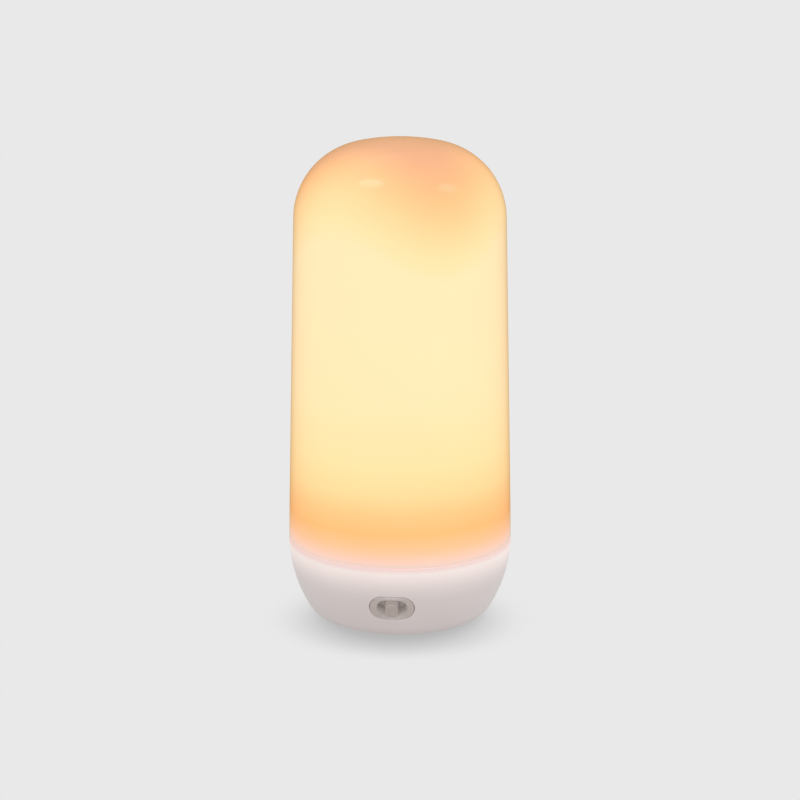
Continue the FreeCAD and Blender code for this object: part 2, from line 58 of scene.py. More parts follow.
MM = 0.001
SHARP_EDGE = math.radians(40.0)     # new pieces are shaded smooth up to this angle
NOISE_LOW, NOISE_HIGH = 0.3, 0.7    # nearly all values of a noise lie between these
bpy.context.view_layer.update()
dome_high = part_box("diffuser")[1]
foot_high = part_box("foot_ring")[1]
socket_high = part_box("usb_shell")[1]

# Each lamp: its name, its angles round from the front and above the floor, its width and height, its roll
# and its watts. Those with fill in their names don't show in gloss. All stand a metre from LAMP_AIM.
LAMPS = (
    ("soft_left", -56.0, 61.3, 0.40, 0.21, 27.0, 0.40),
    ("soft_right", 80.5, 46.6, 0.33, 0.20, -30.0, 0.36),
    ("front_fill", -6.0, 22.0, 0.50, 0.50, 0.0, 0.80),
    ("side_fill", 90.0, 12.0, 0.80, 0.80, 0.0, 0.85),
)
LAMP_AIM = Vector((0.0, 0.0, 0.13))
FLOOR_HALF = 4.0                    # half the floor's side


def linear(code):
    """Linear colour of an sRGB hex value such as FFEEBB."""
    srgb = np.array([int(code[i:i + 2], 16) for i in (0, 2, 4)]) / 255
    values = np.where(srgb <= 0.04045, srgb / 12.92, ((srgb + 0.055) / 1.055) ** 2.4)
    return rgba(float(value) for value in values)


def rgba(parts):
    """Red, green and blue as a node's colour, which has alpha too."""
    return tuple(parts) + (1.0,)


# Meshes


def run(*corners, steps=1):
    """Points along straight runs between section corners, steps to each run."""
    corners = np.array(corners, float)
    share = np.arange(steps)[:, None] / steps
    runs = corners[:-1, None] * (1 - share) + corners[1:, None] * share
    return np.vstack([runs.reshape(-1, 2), corners[-1:]])


def bend(centre, radius, first, last, steps=6):
    """Arc of section points: the centre plus radius times cosine and sine of the angles, in degrees."""
    angle = np.radians(np.linspace(first, last, steps + 1))
    return np.column_stack([centre[0] + radius * np.cos(angle), centre[1] + radius * np.sin(angle)])


def revolve(section, columns):
    """Surface of revolution: each section point's radius times cosine and sine of the column's angle."""
    angle = np.arange(columns) * 2 * np.pi / columns
    points = np.empty((len(section), columns, 3))
    points[..., 0] = section[:, :1] * np.cos(angle)
    points[..., 1] = section[:, :1] * np.sin(angle)
    points[..., 2] = section[:, 1:]
    return points


def grid_faces(rows, columns, closed_rows=False):
    """Four corners of each cell of a grid whose last column meets its first."""
    last = rows if closed_rows else rows - 1
    row, column = np.meshgrid(np.arange(last), np.arange(columns), indexing="ij")
    above, beside = (row + 1) % rows, (column + 1) % columns
    cells = np.stack([row * columns + column, row * columns + beside, above * columns + beside,
                      above * columns + column], axis=-1)
    return cells.reshape(-1, 4)


def show(name, data):
    """Object of a mesh, a lamp or a camera, put into the scene."""
    thing = bpy.data.objects.new(name, data)
    bpy.context.scene.collection.objects.link(thing)
    return thing


def surface(name, points, faces):
    """Mesh from computed points and faces."""
    mesh = bpy.data.meshes.new(name)
    mesh.from_pydata(points.reshape(-1, 3).tolist(), [], faces.tolist())
    return mesh


def make_piece(name, points, faces, material, body, node):
    """Object from computed points and faces, with doubles merged and faces turned outwards."""
    mesh = surface(name, points, faces)
    work = bmesh.new()
    work.from_mesh(mesh)
    bmesh.ops.remove_doubles(work, verts=work.verts, dist=1e-7)
    bmesh.ops.recalc_face_normals(work, faces=work.faces)
    work.to_mesh(mesh)
    work.free()
    mesh.shade_smooth()
    mesh.set_sharp_from_angle(angle=SHARP_EDGE)
    mesh.materials.append(material)
    piece = show(name, mesh)
    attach(piece, body)
    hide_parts(node)


def dress(material, *nodes):
    """Gives CAD nodes that keep their own mesh a material."""
    for node in nodes:
        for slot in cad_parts[node].material_slots:
            slot.material = material


def switch_place(shape, body):
    """Middle of the base's side arc in section, its lean at the switch, and the switch's place on it."""
    lean = math.asin((body.seam_height - shape.centre) / shape.side_arc)
    middle = body.body_radius - shape.side_arc
    return middle, lean, Vector((0.0, -(middle + shape.side_arc * math.cos(lean)), shape.centre))


# Materials


def add(tree, kind, inputs=None, stops=(), **settings):
    """Adds a node with its settings, its colour stops, and its inputs as constants or links."""
    node = tree.nodes.new(kind)
    for name, value in settings.items():
        setattr(node, name, value)
    for index, (place, colour) in enumerate(stops):
        element = node.color_ramp.elements[index] if index < 2 else node.color_ramp.elements.new(place)
        element.position = place
        element.color = colour
    for key, value in (inputs or {}).items():
        if isinstance(value, bpy.types.NodeSocket):
            tree.links.new(value, node.inputs[key])
        else:
            node.inputs[key].default_value = value
    return node


def empty_tree(owner):
    """Node tree of a material or a world, with no node in it yet."""
    owner.use_nodes = True
    owner.node_tree.nodes.clear()
    return owner.node_tree


def start_material(name, **sockets):
    """A material with one shader, its constants on the shader's own sockets, and Object coordinates."""
    material = bpy.data.materials.new(name)
    tree = empty_tree(material)
    labels = {key.replace("_", " "): value for key, value in sockets.items()}
    shader = add(tree, "ShaderNodeBsdfPrincipled", labels)
    add(tree, "ShaderNodeOutputMaterial", {"Surface": shader.outputs["BSDF"]})
    place = add(tree, "ShaderNodeTexCoord").outputs["Object"]
    return material, tree, shader, place


def seen_rays(tree):
    """One for rays that show a thing, to the camera or in gloss or glass, and nought for rays that light."""
    path = add(tree, "ShaderNodeLightPath").outputs
    seen = path["Is Camera Ray"]
    for kind in ("Is Glossy Ray", "Is Transmission Ray"):
        seen = add(tree, "ShaderNodeMath", {0: seen, 1: path[kind]}, operation="MAXIMUM").outputs[0]
    return seen


def per_metre(size_mm):
    """Scale of a pattern whose features are this many millimetres apart."""
    return 1 / (size_mm * MM)


def patches(tree, place, size_mm, codes):
    """Slow patches of a few close colours, spread evenly over the values of a noise."""
    noise = add(tree, "ShaderNodeTexNoise", {"Vector": place, "Scale": per_metre(size_mm), "Detail": 3.0})
    levels = np.linspace(NOISE_LOW, NOISE_HIGH, len(codes))
    stops = [(level, linear(code)) for level, code in zip(levels, codes)]
    return add(tree, "ShaderNodeValToRGB", {"Fac": noise.outputs["Fac"]}, stops=stops).outputs["Color"]


def grain(tree, shader, place, size_mm, depth_mm, low, high):
    """Surface grain of a real spacing and depth, with the roughness moving between two values."""
    noise = add(tree, "ShaderNodeTexNoise", {"Vector": place, "Scale": per_metre(size_mm), "Detail": 4.0})
    height = noise.outputs["Fac"]
    spread = add(tree, "ShaderNodeMapRange", {"Value": height, "From Min": NOISE_LOW, "From Max": NOISE_HIGH,
                                              "To Min": low, "To Max": high})
    bump = add(tree, "ShaderNodeBump", {"Height": height, "Strength": 1.0, "Distance": depth_mm * MM})
    tree.links.new(spread.outputs["Result"], shader.inputs["Roughness"])
    tree.links.new(bump.outputs["Normal"], shader.inputs["Normal"])
    return bump


def opal_polycarbonate(shape, glow):
    """Opal polycarbonate, injection moulded and polished: milky, glossy, lit from inside.

    The glow is a colour along the height. Three lobes round the dome, where the light sources stand
    nearest, lift the height at which it fades, by a cosine of three times the turn and by the square of the
    radius. A thin amber sheen stands for the longer way that the light takes through the wall at the sides.
    """
    material, tree, shader, place = start_material(
        "opal_polycarbonate_lit", IOR=1.585, Specular_IOR_Level=0.0, Coat_Weight=1.0, Coat_IOR=1.585,
        Coat_Roughness=0.12, Emission_Strength=1.0, Sheen_Weight=0.3, Sheen_Roughness=0.3,
        Sheen_Tint=rgba(glow.limb))
    split = add(tree, "ShaderNodeSeparateXYZ", {"Vector": place})
    x, y, z = (split.outputs[axis] for axis in "XYZ")
    turn = add(tree, "ShaderNodeMath", {0: x, 1: y}, operation="ARCTAN2").outputs[0]
    phase = add(tree, "ShaderNodeMath", {0: turn, 1: 3.0, 2: glow.lobe_turn}, operation="MULTIPLY_ADD")
    wave = add(tree, "ShaderNodeMath", {0: phase.outputs[0]}, operation="COSINE").outputs[0]
    square = add(tree, "ShaderNodeMath", {0: x, 1: x}, operation="MULTIPLY").outputs[0]
    square = add(tree, "ShaderNodeMath", {0: y, 1: y, 2: square}, operation="MULTIPLY_ADD").outputs[0]
    lift = add(tree, "ShaderNodeMath", {0: wave, 1: square}, operation="MULTIPLY").outputs[0]
    dome = add(tree, "ShaderNodeMapRange", {"Value": z, "From Min": glow.lobe_from - glow.lobe_blend,
                                            "From Max": glow.lobe_from + glow.lobe_blend}).outputs[0]
    lift = add(tree, "ShaderNodeMath", {0: lift, 1: dome}, operation="MULTIPLY").outputs[0]
    reach = -glow.lobe_reach / shape.body_radius ** 2
    level = add(tree, "ShaderNodeMath", {0: lift, 1: reach, 2: z}, operation="MULTIPLY_ADD").outputs[0]
    share = add(tree, "ShaderNodeMapRange", {"Value": level, "From Min": shape.seam_height,
                                             "From Max": dome_high.z}).outputs[0]
    span = dome_high.z - shape.seam_height
    # Heights above the table in millimetres
    tones = ((24.4, glow.joint), (26.5, glow.collar), (29.0, glow.haze), (33.5, glow.amber),
             (39.0, glow.honey), (45.0, glow.straw), (53.0, glow.pale), (70.0, glow.body),
             (98.0, glow.middle), (109.0, glow.middle), (116.0, glow.shoulder), (124.0, glow.dome),
             (132.0, glow.crown), (139.0, glow.top))
    stops = [((height * MM - shape.seam_height) / span, rgba(tone)) for height, tone in tones]
    ramp = add(tree, "ShaderNodeValToRGB", {"Fac": share}, stops=stops)
    tree.links.new(ramp.outputs["Color"], shader.inputs["Emission Color"])
    # The base colour is a dark tan, not the opal's white: it carries part of the glow's amber as painted
    # light
    tree.links.new(patches(tree, place, 25.0, ("9B8159", "A0875F")), shader.inputs["Base Color"])
    grain(tree, shader, place, 5.0, 0.006, 0.28, 0.34)
    return material


def satin_abs(shell):
    """White ABS, injection moulded in a finely spark-eroded mould: satin, with a pinkish white.

    A painted glow, emission on the shell, stands for light from the opal spigot seeping through the rim: the
    upper third glows faintly, pinker at the joint.
    """
    material, tree, shader, place = start_material("satin_white_abs", IOR=1.5, Emission_Strength=1.0)
    tree.links.new(patches(tree, place, 18.0, ("E5D9D7", "E9DEDC")), shader.inputs["Base Color"])
    grain(tree, shader, place, 0.35, 0.004, 0.34, 0.42)
    # Painted glow: emission that sets in at the seep's start and grows towards the joint
    height = add(tree, "ShaderNodeSeparateXYZ", {"Vector": place}).outputs["Z"]
    share = add(tree, "ShaderNodeMapRange", {"Value": height, "From Min": shell.seep_from,
                                             "From Max": shell.seep_to}).outputs["Result"]
    # Share of the seep's height, and how much of its light has set in there
    growth = ((0.0, 0.0), (0.18, 0.08), (0.36, 0.24), (0.5, 0.45), (0.68, 0.76), (0.83, 1.0))
    stops = [(level, rgba(part * tone for tone in shell.seep)) for level, part in growth]
    ramp = add(tree, "ShaderNodeValToRGB", {"Fac": share}, stops=stops + [(0.96, rgba(shell.joint))])
    tree.links.new(ramp.outputs["Color"], shader.inputs["Emission Color"])
    return material


def moulded(name, codes, patch_mm, grain_mm, depth_mm, low, high, **sockets):
    """A moulded or cast surface: close colours in slow patches under a fine grain."""
    material, tree, shader, place = start_material(name, **sockets)
    tree.links.new(patches(tree, place, patch_mm, codes), shader.inputs["Base Color"])
    grain(tree, shader, place, grain_mm, depth_mm, low, high)
    return material


def grey_face_painted_light_walls(name, face, wall, shape, body, low, high):
    """Grey ABS face, with the walls of slot and pockets painted white below it: painted light that lifts the
    recesses.

    The grey ends at a small depth below the base's side, which is round about the axis and leans back.
    """
    material, tree, shader, place = start_material(name, IOR=1.53)
    grain(tree, shader, place, 0.2, 0.003, low, high)
    _, lean, corner = switch_place(shape, body)
    across = (math.cos(lean), 0.0, math.sin(lean))
    start = corner.y * math.cos(lean) + corner.z * math.sin(lean)
    split = add(tree, "ShaderNodeSeparateXYZ", {"Vector": place}).outputs
    flat = add(tree, "ShaderNodeCombineXYZ", {"X": split["X"], "Y": split["Y"]}).outputs[0]
    radius = add(tree, "ShaderNodeVectorMath", {0: flat}, operation="LENGTH").outputs["Value"]
    radius = add(tree, "ShaderNodeMath", {0: radius, 1: -1.0}, operation="MULTIPLY").outputs[0]
    turned = add(tree, "ShaderNodeCombineXYZ", {"X": radius, "Z": split["Z"]}).outputs[0]
    along = add(tree, "ShaderNodeVectorMath", {0: turned, 1: across}, operation="DOT_PRODUCT")
    thick = start + shape.grey_depth
    depth = add(tree, "ShaderNodeMapRange", {"Value": along.outputs["Value"], "From Min": thick,
                                             "From Max": thick + shape.grey_fade}).outputs["Result"]
    # The wall tones are a white that stands for light reaching into slot and pockets: painted light
    grey, white = (patches(tree, place, 3.0, codes) for codes in (face, wall))
    mixed = add(tree, "ShaderNodeMixRGB", {0: depth, 1: grey, 2: white})
    tree.links.new(mixed.outputs[0], shader.inputs["Base Color"])
    return material


def metal(name, codes, patch_mm, grain_mm, depth_mm, low, high):
    """Bare metal: its colour comes from reflection, a fine grain spreads the gloss."""
    return moulded(name, codes, patch_mm, grain_mm, depth_mm, low, high, Metallic=1.0)


def stripes(tree, value, pitch):
    """Distance from the nearest stripe's middle, from nought on it to half between two, in pitches."""
    turn = add(tree, "ShaderNodeMath", {0: value, 1: pitch}, operation="PINGPONG").outputs[0]
    return add(tree, "ShaderNodeMath", {0: turn, 1: pitch}, operation="DIVIDE").outputs[0]


def two_tones(tree, shader, share, first, second, edge=0.5):
    """Change of the base colour from one to another, within 0.02 of where the share passes an edge."""
    stops = ((edge - 0.02, linear(first)), (edge + 0.02, linear(second)))
    ramp = add(tree, "ShaderNodeValToRGB", {"Fac": share}, stops=stops)
    tree.links.new(ramp.outputs["Color"], shader.inputs["Base Color"])


def gilded_tongue(inner):
    """Black liquid crystal polymer with a row of gilded contacts at the half pitch of the socket."""
    material, tree, shader, place = start_material("polymer_with_gilded_contacts", IOR=1.6)
    grain(tree, shader, place, 0.2, 0.002, 0.30, 0.42)
    axes = add(tree, "ShaderNodeSeparateXYZ", {"Vector": place}).outputs
    # A contact takes 0.45 of half the pitch to each side of its middle
    row = stripes(tree, axes["X"], inner.contact / 2)
    off_middle = add(tree, "ShaderNodeMath", {0: axes["X"]}, operation="ABSOLUTE").outputs[0]
    inside = socket_high.y - inner.contact_reach
    gold = add(tree, "ShaderNodeMath", {0: row, 1: 0.45}, operation="LESS_THAN").outputs[0]
    near = add(tree, "ShaderNodeMath", {0: off_middle, 1: inner.contact_row}, operation="LESS_THAN")
    mouth = add(tree, "ShaderNodeMath", {0: axes["Y"], 1: inside}, operation="GREATER_THAN")
    for limit in (near, mouth):
        gold = add(tree, "ShaderNodeMath", {0: gold, 1: limit.outputs[0]}, operation="MULTIPLY").outputs[0]
    two_tones(tree, shader, gold, "17171A", "D9B25C")
    tree.links.new(gold, shader.inputs["Metallic"])
    return material


def light_board(inner):
    """White solder mask over a flexible board, the copper of each row showing as a faint band."""
    material, tree, shader, place = start_material("white_flexible_board", IOR=1.5)
    grain(tree, shader, place, 0.6, 0.004, 0.38, 0.48)
    height = add(tree, "ShaderNodeSeparateXYZ", {"Vector": place}).outputs["Z"]
    band = stripes(tree, height, inner.strip / 2)
    # The copper takes the outer part of half the pitch, from 0.62 on
    two_tones(tree, shader, band, "F0EEE4", "E2DFD2", 0.62)
    return material


def phosphor_resin():
    """Light sources: silicone with yellow phosphor, lit warm white."""
    material, tree, shader, place = start_material("phosphor_silicone_lit", IOR=1.43, Emission_Strength=1.0,
                                                   Emission_Color=linear("FFD9A0"))
    tree.links.new(patches(tree, place, 0.5, ("E8BE5C", "F2CF78")), shader.inputs["Base Color"])
    grain(tree, shader, place, 0.15, 0.004, 0.25, 0.35)
    return material


def two_leads():
    """Silicone-jacketed leads, red on the cell's positive side and black on the other side of Y = 0."""
    material, tree, shader, place = start_material("silicone_jacket_red_black", IOR=1.43)
    grain(tree, shader, place, 0.3, 0.004, 0.42, 0.52)
    side = add(tree, "ShaderNodeSeparateXYZ", {"Vector": place}).outputs["Y"]
    share = add(tree, "ShaderNodeMath", {0: side, 1: 1 / MM, 2: 0.5}, operation="MULTIPLY_ADD").outputs[0]
    two_tones(tree, shader, share, "1A1A1C", "A81C18")
    return material


def glass_epoxy(inner):
    """Green solder mask over glass epoxy, paler where copper lies under it."""
    material, tree, shader, place = start_material("glass_epoxy_green", IOR=1.55)
    # Square cells stand for the traces, with mask alone beyond 0.42 of a cell
    cells = add(tree, "ShaderNodeTexVoronoi", {"Vector": place, "Scale": 1 / inner.trace, "Randomness": 0.55},
                distance="CHEBYCHEV", feature="F1")
    two_tones(tree, shader, cells.outputs["Distance"], "1C6B3C", "145231", 0.42)
    bump = grain(tree, shader, place, 0.25, 0.002, 0.22, 0.32)
    tree.links.new(cells.outputs["Distance"], bump.inputs["Height"])
    return material


def tinned_ceramic(inner):
    """Capacitors: tan ceramic with tinned ends, which repeat at the pitch of each row."""
    material, tree, shader, place = start_material("ceramic_with_tinned_ends")
    grain(tree, shader, place, 0.1, 0.002, 0.32, 0.45)
    axes = add(tree, "ShaderNodeSeparateXYZ", {"Vector": place}).outputs
    rear = add(tree, "ShaderNodeMath", {0: axes["Y"], 1: 0.0}, operation="GREATER_THAN").outputs[0]
    shift = add(tree, "ShaderNodeMath", {0: rear, 1: inner.rear_row - inner.front_row, 2: inner.front_row},
                operation="MULTIPLY_ADD").outputs[0]
    along = add(tree, "ShaderNodeMath", {0: axes["X"], 1: shift}, operation="ADD").outputs[0]
    share = stripes(tree, along, inner.capacitor / 2)
    # The tin starts 0.29 of half the pitch, or 0.6 mm, from a capacitor's middle
    tin = add(tree, "ShaderNodeMath", {0: share, 1: 0.29}, operation="GREATER_THAN").outputs[0]
    two_tones(tree, shader, tin, "A88C68", "C6C7C9")
    tree.links.new(tin, shader.inputs["Metallic"])
    return material


# Sizes and colours that a user would change


def length(name, description, millimetres):
    """Property that holds a length."""
    return FloatProperty(name=name, description=description, default=millimetres * MM, unit="LENGTH",
                         precision=5)


def degrees(name, description, value):
    """Property that holds an angle."""
    return FloatProperty(name=name, description=description, default=math.radians(value), subtype="ANGLE")


def colour(name, description, code):
    """Property that holds a colour."""
    return FloatVectorProperty(name=name, description=description, default=linear(code)[:3], subtype="COLOR",
                               min=0.0, max=1.0)


class DiffuserShape(bpy.types.PropertyGroup):
    """Section of the opal diffuser, the same as the CAD model's."""
    body_radius: length("Body radius", "Widest radius, at the joint with the base", 32.5)
    seam_height: length("Joint height", "Height of the joint with the base above the table", 24.0)
    shoulder_radius: length("Shoulder radius", "Radius that the dome springs from", 30.2)
    shoulder_arc: length("Shoulder arc", "Arc that leads from the wall to the crown", 21.8)
    crown_arc: length("Crown arc", "Flatter arc over the top", 61.5)
    edge_round: length("Edge rounding", "Rounding of the lower outer edge", 0.35)
    wall: length("Wall", "Thickness of the diffuser", 2.0)
    collar: length("Collar", "Height of the thickened ring inside, above the spigot", 1.6)
    spigot_radius: length("Spigot radius", "Outer radius of the ring that plugs into the base", 30.0)
    spigot_wall: length("Spigot wall", "Thickness of that ring", 1.6)
    spigot_depth: length("Spigot depth", "How far it reaches into the base", 3.1)
    lug_drop: length("Lug drop", "From the joint down to a snap lug", 0.7)
    lug_height: length("Lug height", "Height of a snap lug", 1.2)
    lug_proud: length("Lug proud", "How far a snap lug stands out of the spigot", 0.5)
    lug_blend: length("Lug blend", "Height over which a snap lug rises at its ends", 0.1)
    lug_angle: degrees("Lug length", "Length of a snap lug, as an angle", 14.0)
    columns: IntProperty(name="Columns", description="Cells round the diffuser", default=288, min=24)


class Glow(bpy.types.PropertyGroup):
    """Colours of the lit diffuser along its height."""
    joint: colour("Joint", "Glow right at the joint with the base", "D1BBBC")
    collar: colour("Collar", "Glow of the collar above the joint", "F3B8A8")
    haze: colour("Haze", "Glow where the collar's shadow ends", "F3B18A")
    amber: colour("Amber", "Deepest glow, at the foot of the light board", "F3A966")
    honey: colour("Honey", "Glow beside the first row of light sources", "F3B677")
    straw: colour("Straw", "Glow beside the second row", "F3CA8E")
    pale: colour("Pale", "Glow beside the third row", "F3D49C")
    body: colour("Body", "Glow of the lower half", "F3DAAC")
    middle: colour("Middle", "Glow at its brightest", "F3DBB1")
    shoulder: colour("Shoulder", "Glow where the dome begins", "F3D5A1")
    dome: colour("Dome", "Glow half way up the dome", "F1C68F")
    crown: colour("Crown", "Glow of the upper dome", "EBA973")
    top: colour("Top", "Glow at the very top", "CF8361")
    limb: colour("Limb", "Amber that the longer way through the wall gives at the sides", "FFD878")
    lobe_reach: length("Lobe reach", "How much higher the glow reaches in a lobe", 6.7)
    lobe_from: length("Lobe start", "Height round which the lobes begin", 90.0)
    lobe_blend: length("Lobe blend", "Height over which they set in, to each side of that", 20.0)
    lobe_turn: degrees("Lobe turn", "Turns the three lobes round the dome", 84.8)


class ShellSeepGlow(bpy.types.PropertyGroup):
    """Painted glow on the base shell, for light that seeps through its rim."""
    seep: colour("Seeping light", "Light that the rim lets through", "8E837C")
    joint: colour("Joint light", "The same right at the joint", "8A5B52")
    seep_from: length("Seep start", "Height at which the rim begins to glow", 13.0)
    seep_to: length("Seep end", "Height of the rim's upper edge", 23.9)


class FootShape(bpy.types.PropertyGroup):
    """Section of the rubber foot ring."""
    width: length("Width", "From the ring's inner to its outer edge", 4.6)
    edge_round: length("Edge rounding", "Rounding of its lower edges", 0.3)
    groove: length("Grip groove", "Radius of the grooves in its underside", 0.35)


class InsertShape(bpy.types.PropertyGroup):
    """The switch's oval insert, the same as the CAD model's."""
    centre: length("Centre height", "Height of the insert's middle", 11.2)
    width: length("Width", "Length of the oval", 12.6)
    height: length("Height", "Height of the oval", 7.8)
    slot_width: length("Slot width", "Length of the slot", 8.6)
    slot_height: length("Slot height", "Height of the slot", 5.4)
    slot_round: length("Slot rounding", "Rounding of the slot's edge", 0.3)
    edge_round: length("Edge rounding", "Rounding of the oval's edge", 0.06)
    inset: length("Inset", "How far it lies below the surface of the base", 0.12)
    depth: length("Depth", "From the surface to its flange", 3.4)
    flange: length("Flange", "How far the flange reaches beyond the oval", 1.4)
    flange_thickness: length("Flange thickness", "Thickness of the flange", 1.0)
    flange_bevel: length("Flange bevel", "Bevel of the flange's edges", 0.2)
    side_arc: length("Side arc", "Radius of the base's side in section", 40.0)
    # Below the grey, the walls of slot and pockets turn white, as painted light
    grey_depth: length("Paint depth", "How far the grey paint covers the walls of slot and joint", 0.2)
    grey_fade: length("Paint fade", "Depth over which it then thins out", 0.3)


class InnerSizes(bpy.types.PropertyGroup):
    """Distances in the patterns on the inner pieces."""
    contact: length("Contact pitch", "Distance between the socket's contacts", 0.5)
    contact_row: length("Contact row", "Half the length of the row of contacts", 2.9)
    contact_reach: length("Contact reach", "How far the contacts reach in from the socket's mouth", 5.0)
    trace: length("Trace pitch", "Distance between the traces of the main board", 1.6)
    strip: length("Light row pitch", "Distance between the rows of light sources", 9.0)
    capacitor: length("Capacitor pitch", "Distance between capacitors in a row", 4.2)
    front_row: length("Front row", "First capacitor of the front row, left of the middle", 5.0)
    rear_row: length("Rear row", "First capacitor of the rear row, left of the middle", 2.2)


class StageSettings(bpy.types.PropertyGroup):
    """Camera, floor and lights."""
    lens: FloatProperty(name="Lens", description="Focal length on a 36 mm sensor", default=101.2,
                        unit="CAMERA")
    distance: length("Distance", "From the camera to its target", 650.0)
    target_height: length("Target height", "Height of the point that the camera looks at", 64.31)
    elevation: degrees("Elevation", "Camera's angle above the horizon", 14.66)
    azimuth: degrees("Azimuth", "Camera's angle round the light from the front", 4.4)
    paper: colour("Paper", "Colour of floor and backdrop", "E9E9E9")
    sky: FloatProperty(name="Sky", description="Strength of the even light from above", default=0.88, min=0.0)
    bounce: FloatProperty(name="Bounce", description="Strength of the light that the floor gives back",
                          default=0.7, min=0.0)
    curtain_radius: length("Curtain radius", "Radius of the dim curtain that only gloss shows", 70.0)
    curtain_height: length("Curtain height", "Height of that curtain, whose upper half fades out", 260.0)
    curtain_fade: length("Curtain fade", "Height over which it fades out at its foot", 16.0)
    curtain_tone: colour("Curtain tone", "Colour of that curtain in the light's own glow", "AA8468")
    shadow_reach: length("Shadow reach", "How far off a piece still darkens the floor", 18.0)
    shadow_depth: FloatProperty(name="Shadow depth", description="Brightness left where the floor is covered",
                                default=0.536, min=0.0, max=1.0, subtype="FACTOR")
    shadow_lean: degrees("Shadow lean", "How far the light on the floor comes from behind", 35.0)


# Floor, backdrop, lamps and camera


def direction(turn, rise):
    """Unit vector at a turn from the front and a rise above the floor.

    Its parts are sine and minus cosine of the turn, both times the cosine of the rise, and the rise's sine.
    """
    return Vector((math.sin(turn) * math.cos(rise), -math.cos(turn) * math.cos(rise), math.sin(rise)))


def even_sky(stage):
    """World that lights evenly and shows as the paper's colour."""
    world = bpy.data.worlds.new("even_sky")
    bpy.context.scene.world = world
    tree = empty_tree(world)
    light = add(tree, "ShaderNodeBackground", {"Color": rgba((1.0, 1.0, 1.0)), "Strength": stage.sky})
    backdrop = add(tree, "ShaderNodeBackground", {"Color": rgba(stage.paper), "Strength": 1.0})
    seen = seen_rays(tree)
    mixed = add(tree, "ShaderNodeMixShader", {0: seen, 1: light.outputs[0], 2: backdrop.outputs[0]})
    add(tree, "ShaderNodeOutputWorld", {"Surface": mixed.outputs[0]})


def paper_floor(stage):
    """Floor in the backdrop's colour, darker where less of a sky that leans back is open to it."""
    corners = np.array([(-1, -1, 0), (1, -1, 0), (1, 1, 0), (-1, 1, 0)]) * FLOOR_HALF
    mesh = surface("paper_floor", corners, np.array([(0, 1, 2, 3)]))
    floor = show("paper_floor", mesh)
    material = bpy.data.materials.new("lit_paper")
    tree = empty_tree(material)
    lean = stage.shadow_lean
    leaning = add(tree, "ShaderNodeCombineXYZ", {"Y": math.sin(lean), "Z": math.cos(lean)})
    open_sky = add(tree, "ShaderNodeAmbientOcclusion", {"Distance": stage.shadow_reach,
                                                        "Normal": leaning.outputs[0]}, samples=32)
    # Share of the sky that is open, and how much of the shadow's depth is left there
    depths = ((0.0, 1.0), (0.15, 0.82), (0.3, 0.64), (0.45, 0.4), (0.6, 0.18), (0.75, 0.04), (0.9, 0.0))
    covered = 1.0 - stage.shadow_depth
    stops = [(share, rgba(value * (1.0 - covered * part) for value in stage.paper)) for share, part in depths]
    tone = add(tree, "ShaderNodeValToRGB", {"Fac": open_sky.outputs["AO"]}, stops=stops)
    shown = add(tree, "ShaderNodeEmission", {"Color": tone.outputs["Color"], "Strength": 1.0})
    bounce = add(tree, "ShaderNodeEmission", {"Color": rgba(stage.paper), "Strength": stage.bounce})
    mixed = add(tree, "ShaderNodeMixShader", {0: seen_rays(tree), 1: bounce.outputs[0], 2: shown.outputs[0]})
    add(tree, "ShaderNodeOutputMaterial", {"Surface": mixed.outputs[0]})
    mesh.materials.append(material)


def dim_curtain(stage):
    """Upright cylinder that only gloss shows: it gives the diffuser's outline its darker rim."""
    rim = np.array([(stage.curtain_radius, 0.0), (stage.curtain_radius, stage.curtain_height)])
    columns = 96
    mesh = surface("dim_curtain", revolve(rim, columns), grid_faces(len(rim), columns))
    curtain = show("dim_curtain", mesh)
    curtain.visible_camera = curtain.visible_diffuse = False
    curtain.visible_shadow = curtain.visible_transmission = False
    material = bpy.data.materials.new("voile_in_painted_glow")
    tree = empty_tree(material)
    place = add(tree, "ShaderNodeTexCoord").outputs["Object"]
    height = add(tree, "ShaderNodeSeparateXYZ", {"Vector": place}).outputs["Z"]
    above = add(tree, "ShaderNodeMapRange", {"Value": height, "From Min": stage.curtain_height / 2,
                                             "From Max": stage.curtain_height}).outputs[0]
    below = add(tree, "ShaderNodeMapRange", {"Value": height, "From Max": stage.curtain_fade,
                                             "To Min": 1.0, "To Max": 0.0}).outputs[0]
    thin = add(tree, "ShaderNodeMath", {0: above, 1: below}, operation="MAXIMUM").outputs[0]
    # The curtain's amber is emitted: a painted glow of the light on it
    cloth = add(tree, "ShaderNodeEmission", {"Color": rgba(stage.curtain_tone), "Strength": 1.0})
    clear = add(tree, "ShaderNodeBsdfTransparent")
    mixed = add(tree, "ShaderNodeMixShader", {0: thin, 1: cloth.outputs[0], 2: clear.outputs[0]})
    add(tree, "ShaderNodeOutputMaterial", {"Surface": mixed.outputs[0]})
    mesh.materials.append(material)


def soft_lamps():
    """Two oval softboxes, which show in the dome's gloss, and two wide fills, which don't."""
    for name, turn, rise, width, height, roll, watts in LAMPS:
        lamp = bpy.data.lights.new(name, "AREA")
        lamp.shape = "ELLIPSE"
        lamp.size, lamp.size_y = width, height
        lamp.energy = watts
        box = show(name, lamp)
        box.visible_glossy = "fill" not in name
        away = direction(math.radians(turn), math.radians(rise))
        box.location = LAMP_AIM + away
        aim = away.to_track_quat("Z", "Y").to_matrix() @ Matrix.Rotation(math.radians(roll), 3, "Z")
        box.rotation_euler = aim.to_euler()


def photo_camera(stage):
    """Camera at the photograph's angle, aimed at a point on the light's axis."""
    data = bpy.data.cameras.new("photo_camera")
    data.lens = stage.lens
    data.sensor_width = 36.0
    data.clip_start = 0.01
    camera = show("photo_camera", data)
    away = direction(stage.azimuth, stage.elevation)
    camera.location = Vector((0.0, 0.0, stage.target_height)) + away * stage.distance
    camera.rotation_euler = away.to_track_quat("Z", "Y").to_euler()
    bpy.context.scene.camera = camera


# Operators, one for each piece or group of like pieces


